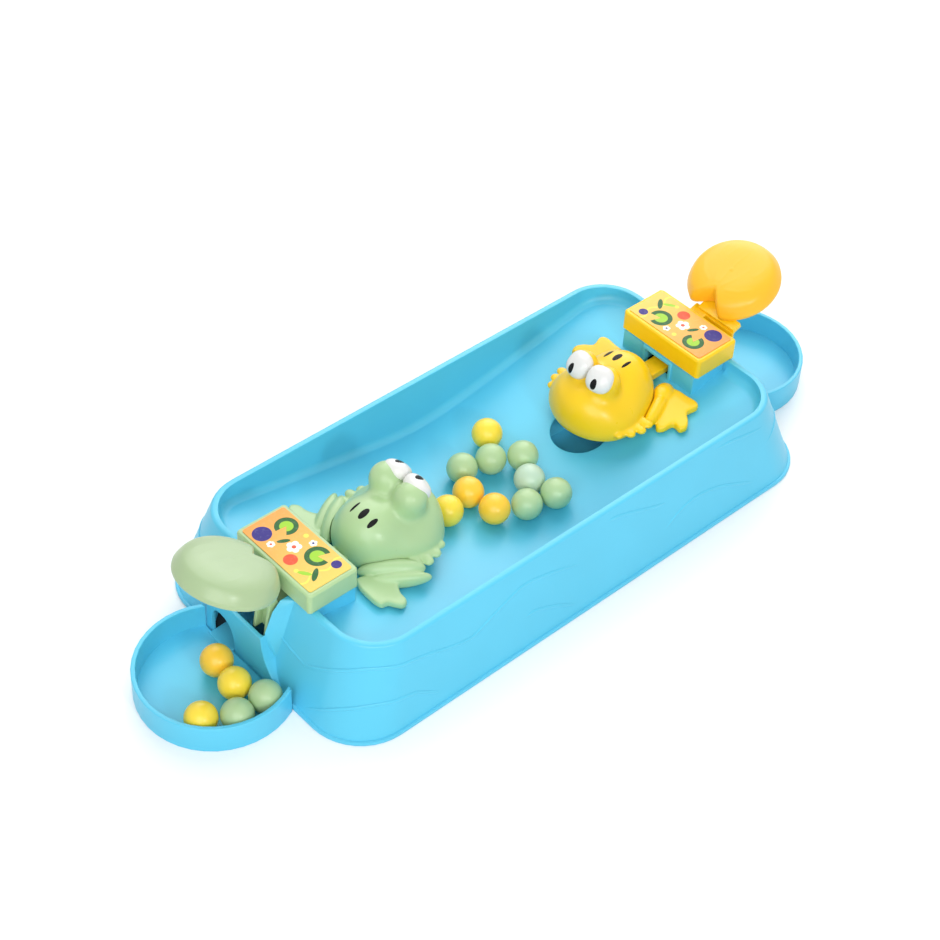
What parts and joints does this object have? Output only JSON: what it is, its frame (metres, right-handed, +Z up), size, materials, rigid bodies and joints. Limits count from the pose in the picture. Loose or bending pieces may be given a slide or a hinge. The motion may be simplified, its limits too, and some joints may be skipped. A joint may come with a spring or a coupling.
{
  "type": "frog feeding game",
  "caption": "Table-top game: a blue tray with a valley floor, a cup at each end, and frogs on rocking levers that drop over beads when a lily pad is let go.",
  "frame": {"origin": "centre of the footprint, on the table", "axes": "+X along the tray towards the yellow end, +Y across it, +Z up"},
  "size_m": [0.3734, 0.1348, 0.0728],
  "materials": {
    "blue": "smooth light blue moulding",
    "yellow": "smooth yellow moulding",
    "green": "smooth pale green moulding",
    "pad_yellow": "smooth light yellow moulding",
    "pad_green": "smooth lighter green moulding",
    "label": "printed card under a clear film",
    "white": "smooth white moulding",
    "steel": "plain",
    "bead_yellow": "smooth",
    "bead_amber": "smooth",
    "bead_green": "smooth",
    "bead_pale": "smooth"
  },
  "bodies": {
    "tray": {"yellow_skirt": "blue", "yellow_floor": "blue", "yellow_pedestal": "blue", "yellow_bean_cup": "blue", "yellow_cover": "yellow", "yellow_label": "label", "yellow_axle": "steel", "yellow_left_cover_screw": "steel", "yellow_right_cover_screw": "steel", "yellow_left_chute_screw": "steel", "yellow_right_chute_screw": "steel", "green_skirt": "blue", "green_floor": "blue", "green_pedestal": "blue", "green_bean_cup": "blue", "green_cover": "green", "green_label": "label", "green_axle": "steel", "green_left_cover_screw": "steel", "green_right_cover_screw": "steel", "green_left_chute_screw": "steel", "green_right_chute_screw": "steel"},
    "yellow_rocker": {"yellow_lever": "yellow", "yellow_lily_pad": "pad_yellow", "yellow_frog_shell": "yellow", "yellow_left_leg": "yellow", "yellow_right_leg": "yellow", "yellow_left_eye": "white", "yellow_right_eye": "white"},
    "green_rocker": {"green_lever": "green", "green_lily_pad": "pad_green", "green_frog_shell": "green", "green_left_leg": "green", "green_right_leg": "green", "green_left_eye": "white", "green_right_eye": "white"},
    "tray_bead_1": {"tray_bead_1": "bead_yellow"},
    "tray_bead_2": {"tray_bead_2": "bead_green"},
    "tray_bead_3": {"tray_bead_3": "bead_green"},
    "tray_bead_4": {"tray_bead_4": "bead_green"},
    "tray_bead_5": {"tray_bead_5": "bead_amber"},
    "tray_bead_6": {"tray_bead_6": "bead_amber"},
    "tray_bead_7": {"tray_bead_7": "bead_pale"},
    "tray_bead_8": {"tray_bead_8": "bead_green"},
    "tray_bead_9": {"tray_bead_9": "bead_green"},
    "tray_bead_10": {"tray_bead_10": "bead_yellow"},
    "cup_bead_1": {"cup_bead_1": "bead_amber"},
    "cup_bead_2": {"cup_bead_2": "bead_yellow"},
    "cup_bead_3": {"cup_bead_3": "bead_yellow"},
    "cup_bead_4": {"cup_bead_4": "bead_green"},
    "cup_bead_5": {"cup_bead_5": "bead_green"}
  },
  "joints": [
    {"name": "yellow_press", "type": "hinge", "parent": "tray", "child": "yellow_rocker", "pos_m": [0.107, 0, 0.036], "axis": [0, 1, 0], "range_deg": [0, 18]},
    {"name": "green_press", "type": "hinge", "parent": "tray", "child": "green_rocker", "pos_m": [-0.107, 0, 0.036], "axis": [0, -1, 0], "range_deg": [0, 18]},
    {"name": "tray_bead_1_lift", "type": "slide", "parent": "tray", "child": "tray_bead_1", "axis": [0, 0, 1], "range_m": [0, 0.02]},
    {"name": "tray_bead_2_lift", "type": "slide", "parent": "tray", "child": "tray_bead_2", "axis": [0, 0, 1], "range_m": [0, 0.02]},
    {"name": "tray_bead_3_lift", "type": "slide", "parent": "tray", "child": "tray_bead_3", "axis": [0, 0, 1], "range_m": [0, 0.02]},
    {"name": "tray_bead_4_lift", "type": "slide", "parent": "tray", "child": "tray_bead_4", "axis": [0, 0, 1], "range_m": [0, 0.02]},
    {"name": "tray_bead_5_lift", "type": "slide", "parent": "tray", "child": "tray_bead_5", "axis": [0, 0, 1], "range_m": [0, 0.02]},
    {"name": "tray_bead_6_lift", "type": "slide", "parent": "tray", "child": "tray_bead_6", "axis": [0, 0, 1], "range_m": [0, 0.02]},
    {"name": "tray_bead_7_lift", "type": "slide", "parent": "tray", "child": "tray_bead_7", "axis": [0, 0, 1], "range_m": [0, 0.02]},
    {"name": "tray_bead_8_lift", "type": "slide", "parent": "tray", "child": "tray_bead_8", "axis": [0, 0, 1], "range_m": [0, 0.02]},
    {"name": "tray_bead_9_lift", "type": "slide", "parent": "tray", "child": "tray_bead_9", "axis": [0, 0, 1], "range_m": [0, 0.02]},
    {"name": "tray_bead_10_lift", "type": "slide", "parent": "tray", "child": "tray_bead_10", "axis": [0, 0, 1], "range_m": [0, 0.02]},
    {"name": "cup_bead_1_lift", "type": "slide", "parent": "tray", "child": "cup_bead_1", "axis": [0, 0, 1], "range_m": [0, 0.02]},
    {"name": "cup_bead_2_lift", "type": "slide", "parent": "tray", "child": "cup_bead_2", "axis": [0, 0, 1], "range_m": [0, 0.02]},
    {"name": "cup_bead_3_lift", "type": "slide", "parent": "tray", "child": "cup_bead_3", "axis": [0, 0, 1], "range_m": [0, 0.02]},
    {"name": "cup_bead_4_lift", "type": "slide", "parent": "tray", "child": "cup_bead_4", "axis": [0, 0, 1], "range_m": [0, 0.02]},
    {"name": "cup_bead_5_lift", "type": "slide", "parent": "tray", "child": "cup_bead_5", "axis": [0, 0, 1], "range_m": [0, 0.02]}
  ]
}
